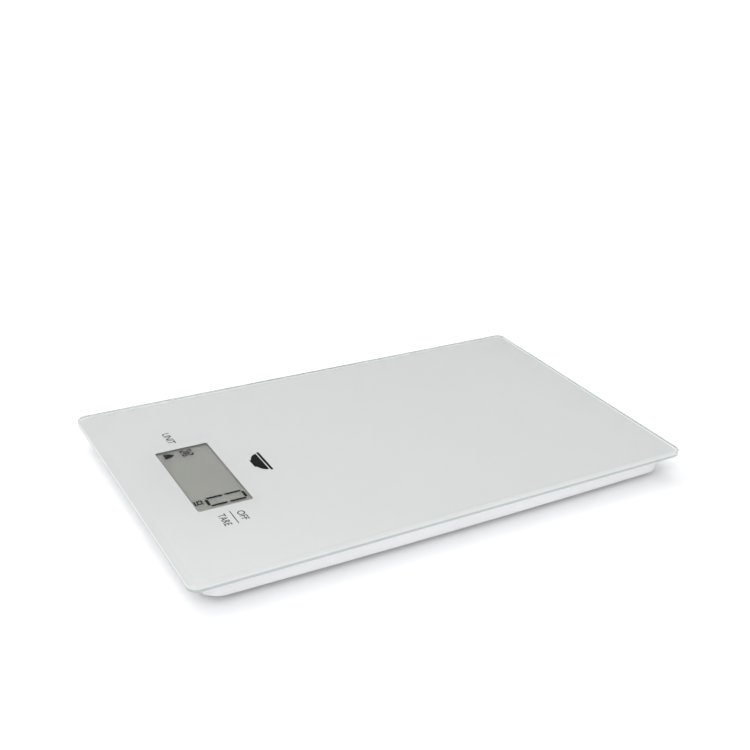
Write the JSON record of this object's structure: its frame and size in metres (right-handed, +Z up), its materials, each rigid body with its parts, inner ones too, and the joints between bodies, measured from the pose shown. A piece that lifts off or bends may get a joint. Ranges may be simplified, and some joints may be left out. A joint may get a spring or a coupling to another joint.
{
  "type": "kitchen scale",
  "caption": "Slim digital kitchen scale with a flat rectangular glass platform, a grey display under the glass and a white plastic housing on small rubber feet.",
  "frame": {"origin": "on the table plane under the rubber feet, below the centre of the glass plate", "axes": "+Z up through the weighing surface; +Y towards the far end, away from the display, so the user stands at -Y; +X to the user's right, which is the direction the display reads"},
  "size_m": [0.138, 0.23, 0.013],
  "materials": {
    "platform_glass": "polished",
    "white_back_print": "gloss",
    "foam_tape": "matte",
    "black_foam": "matte",
    "white_abs": "satin",
    "cover_abs": "matte",
    "lcd_glass": "polished",
    "lcd_polariser": "satin",
    "lcd_back": "satin",
    "zebra_rubber": "matte",
    "frame_plastic": "matte",
    "board_laminate": "satin",
    "black_epoxy": "gloss",
    "chip_ceramic": "satin",
    "steel_screws": "satin",
    "spring_steel": "satin",
    "cell_steel": "satin",
    "gauge_film": "satin",
    "wire_pvc": "satin",
    "red_wire_pvc": "satin",
    "black_wire_pvc": "satin",
    "clear_tape": "satin",
    "solder": "satin",
    "cup_plastic": "matte",
    "foot_rubber": "matte",
    "coin_cell_steel": "satin",
    "contact_steel": "satin"
  },
  "bodies": {
    "housing": {"back_print": "white_back_print", "base_cover": "cover_abs", "battery_lead_negative": "black_wire_pvc", "battery_lead_positive": "red_wire_pvc", "board_chips": "chip_ceramic", "board_screws": "steel_screws", "circuit_board": "board_laminate", "coin_cell": "coin_cell_steel", "controller_blob": "black_epoxy", "cover_screws": "steel_screws", "glass_tape": "foam_tape", "harness_front_left": "wire_pvc", "harness_front_right": "wire_pvc", "harness_rear_left": "wire_pvc", "harness_rear_right": "wire_pvc", "lcd_dust_seal": "black_foam", "lcd_front_glass": "lcd_glass", "lcd_front_polariser": "lcd_polariser", "lcd_holder": "frame_plastic", "lcd_rear_glass": "lcd_glass", "lcd_reflector": "lcd_back", "load_cell_front_left": "cell_steel", "load_cell_front_right": "cell_steel", "load_cell_rear_left": "cell_steel", "load_cell_rear_right": "cell_steel", "load_cell_screws": "steel_screws", "negative_contact": "contact_steel", "positive_contact": "contact_steel", "solder_joints": "solder", "strain_gauge_front_left": "gauge_film", "strain_gauge_front_right": "gauge_film", "strain_gauge_rear_left": "gauge_film", "strain_gauge_rear_right": "gauge_film", "top_glass": "platform_glass", "touch_spring_tare": "spring_steel", "touch_spring_unit": "spring_steel", "upper_shell": "white_abs", "wire_tapes": "clear_tape", "zebra_strip": "zebra_rubber"},
    "foot_front_left": {"foot_cup_front_left": "cup_plastic", "foot_pad_front_left": "foot_rubber", "foot_rivet_front_left": "steel_screws"},
    "foot_front_right": {"foot_cup_front_right": "cup_plastic", "foot_pad_front_right": "foot_rubber", "foot_rivet_front_right": "steel_screws"},
    "foot_rear_left": {"foot_cup_rear_left": "cup_plastic", "foot_pad_rear_left": "foot_rubber", "foot_rivet_rear_left": "steel_screws"},
    "foot_rear_right": {"foot_cup_rear_right": "cup_plastic", "foot_pad_rear_right": "foot_rubber", "foot_rivet_rear_right": "steel_screws"},
    "battery_door": {"battery_door": "cover_abs", "door_latch": "cover_abs"}
  },
  "joints": [
    {"name": "foot_travel_front_left", "type": "slide", "parent": "housing", "child": "foot_front_left", "axis": [0, 0, 1], "range_m": [0, 0.0004], "stiffness_N_per_m": 30000, "deforming": ["load_cell_front_left"]},
    {"name": "foot_travel_front_right", "type": "slide", "parent": "housing", "child": "foot_front_right", "axis": [0, 0, 1], "range_m": [0, 0.0004], "stiffness_N_per_m": 30000, "deforming": ["load_cell_front_right"]},
    {"name": "foot_travel_rear_left", "type": "slide", "parent": "housing", "child": "foot_rear_left", "axis": [0, 0, 1], "range_m": [0, 0.0004], "stiffness_N_per_m": 30000, "deforming": ["load_cell_rear_left"]},
    {"name": "foot_travel_rear_right", "type": "slide", "parent": "housing", "child": "foot_rear_right", "axis": [0, 0, 1], "range_m": [0, 0.0004], "stiffness_N_per_m": 30000, "deforming": ["load_cell_rear_right"]},
    {"name": "battery_door_hinge", "type": "hinge", "parent": "housing", "child": "battery_door", "pos_m": [0, -0.04, 0.0039], "axis": [-1, 0, 0], "range_deg": [0, 85], "deforming": ["door_latch"]}
  ]
}
